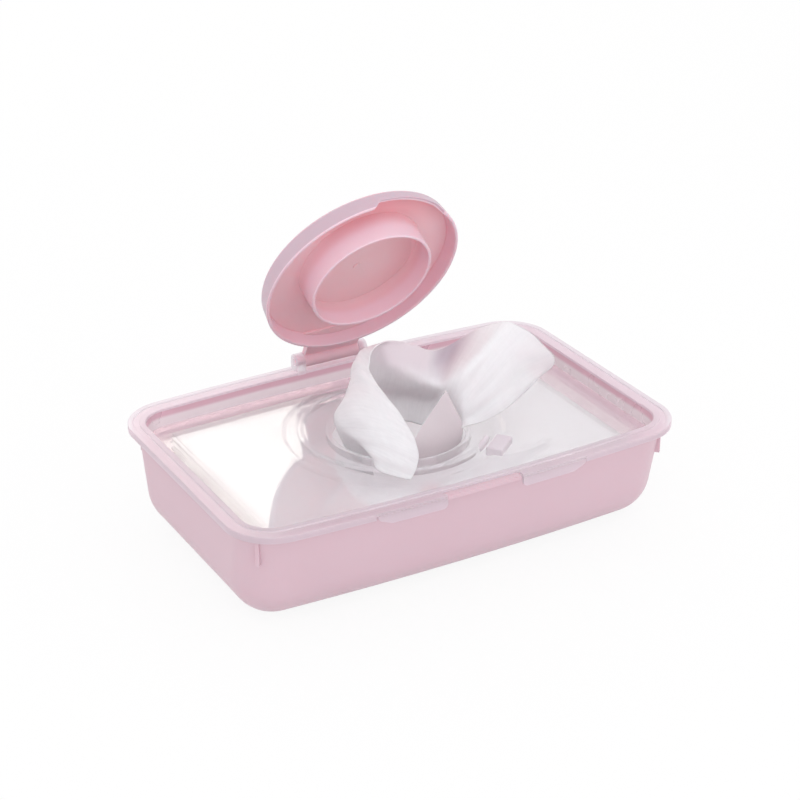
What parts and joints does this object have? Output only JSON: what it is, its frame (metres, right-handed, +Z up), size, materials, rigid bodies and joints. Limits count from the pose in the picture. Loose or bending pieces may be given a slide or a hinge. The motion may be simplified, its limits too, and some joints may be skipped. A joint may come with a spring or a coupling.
{
  "type": "wipes dispenser",
  "caption": "Rectangular countertop wipes dispenser: drafted tub, clear lid with a round opening, round flip cap hinged at the back, folded wipes inside and a wipe drawn up.",
  "frame": {"origin": "middle of the tub's base, on the surface it stands on", "axes": "+Z up; +X along the long side to the right as seen from the latch side; -Y towards the latch side, +Y towards the cap hinge"},
  "size_m": [0.2, 0.1324, 0.1371],
  "materials": {
    "pink_plastic": "satin moulded polypropylene",
    "cap_plastic": "satin moulded polypropylene",
    "clear_plastic": "clear glossy moulding",
    "wipe_fabric": "damp nonwoven"
  },
  "bodies": {
    "tub_body": {"tub": "pink_plastic", "folded_wipe_01": "wipe_fabric", "folded_wipe_02": "wipe_fabric", "folded_wipe_03": "wipe_fabric", "folded_wipe_04": "wipe_fabric", "folded_wipe_05": "wipe_fabric", "folded_wipe_06": "wipe_fabric", "folded_wipe_07": "wipe_fabric", "folded_wipe_08": "wipe_fabric", "folded_wipe_09": "wipe_fabric", "folded_wipe_10": "wipe_fabric", "folded_wipe_11": "wipe_fabric", "folded_wipe_12": "wipe_fabric", "folded_wipe_13": "wipe_fabric", "folded_wipe_14": "wipe_fabric", "folded_wipe_15": "wipe_fabric", "folded_wipe_16": "wipe_fabric"},
    "lid_body": {"lid": "clear_plastic"},
    "left_latch": {"left_latch_tab": "clear_plastic"},
    "right_latch": {"right_latch_tab": "clear_plastic"},
    "cap": {"flip_cap": "cap_plastic"},
    "drawn_wipe": {"pulled_wipe": "wipe_fabric"}
  },
  "joints": [
    {"name": "lid_lift", "type": "slide", "parent": "tub_body", "child": "lid_body", "axis": [0, 0, 1], "range_m": [0, 0.08]},
    {"name": "cap_hinge", "type": "hinge", "parent": "lid_body", "child": "cap", "pos_m": [0, 0.0615, 0.0493], "axis": [-1, 0, 0], "range_deg": [-62, 20], "deforming": ["pulled_wipe"]},
    {"name": "left_latch_flex", "type": "hinge", "parent": "lid_body", "child": "left_latch", "pos_m": [-0.032, -0.066, 0.04415], "axis": [-0.9997, 0.0256, 0], "range_deg": [0, 25], "stiffness_Nm_per_rad": 0.012},
    {"name": "right_latch_flex", "type": "hinge", "parent": "lid_body", "child": "right_latch", "pos_m": [0.032, -0.066, 0.04415], "axis": [-0.9997, -0.0256, 0], "range_deg": [0, 25], "stiffness_Nm_per_rad": 0.012},
    {"name": "wipe_draw", "type": "slide", "parent": "lid_body", "child": "drawn_wipe", "axis": [0, -0.4226, 0.9063], "range_m": [0, 0.06], "deforming": ["pulled_wipe"]}
  ]
}
